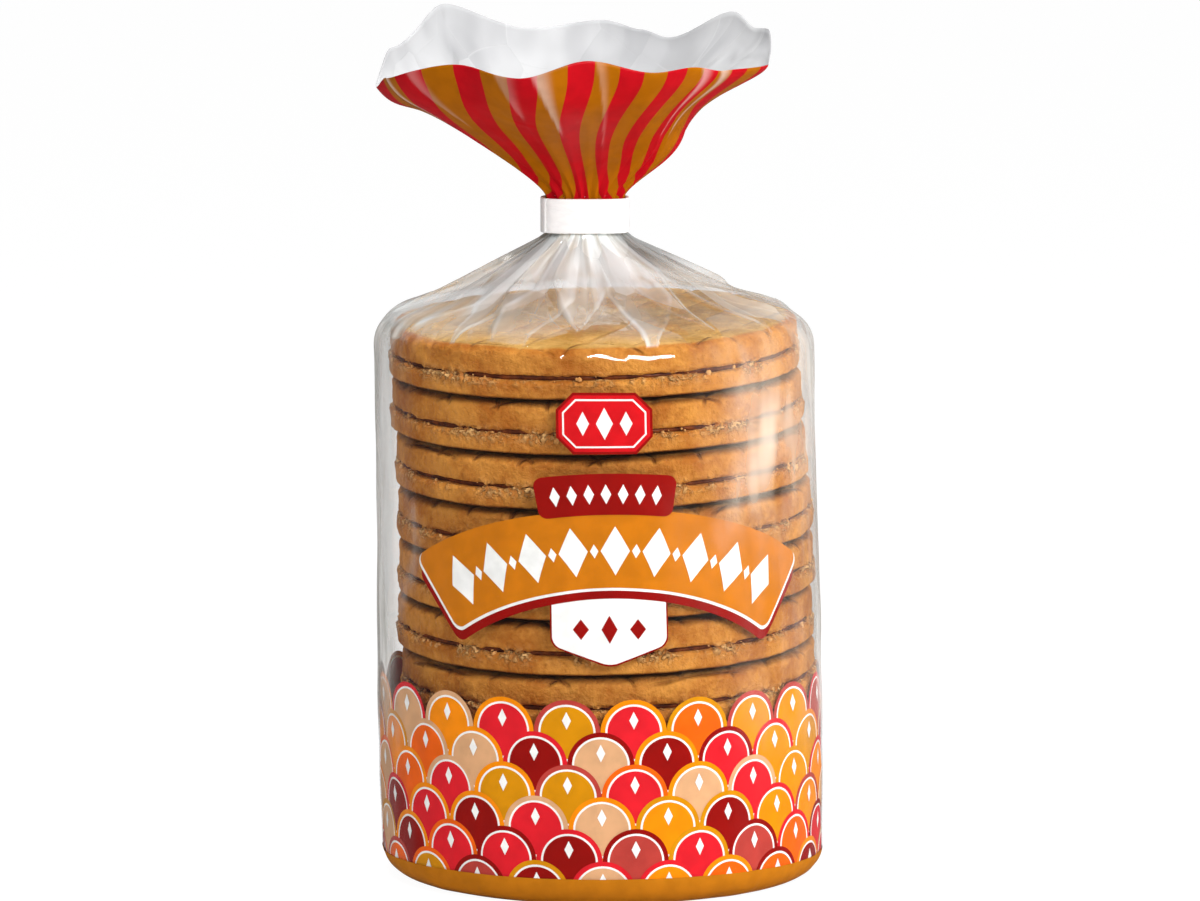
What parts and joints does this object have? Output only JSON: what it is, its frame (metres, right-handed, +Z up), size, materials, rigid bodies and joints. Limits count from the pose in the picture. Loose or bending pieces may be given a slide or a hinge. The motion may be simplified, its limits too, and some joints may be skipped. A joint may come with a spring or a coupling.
{
  "type": "pack of syrup cookies",
  "caption": "Upright clear film bag holding a stack of round syrup-filled cookies, gathered at the neck by a white tape band under a flared striped frill.",
  "frame": {"origin": "middle of the pack's width and depth, at the level of its base", "axes": "+Z up through the neck and frill, front of the pack towards -Y, +X to the right seen from the front"},
  "size_m": [0.096, 0.0942, 0.1827],
  "materials": {
    "film": "clear glossy film, here in the colour of the cookies seen through it",
    "tape": "white satin tape",
    "biscuit": "golden baked biscuit with browned rims and a fine crumb",
    "syrup": "dark sticky syrup",
    "print": "opaque ink on film in reds, oranges, ochres and white"
  },
  "bodies": {
    "root": {"bag": "film", "band": "tape"}
  },
  "joints": []
}
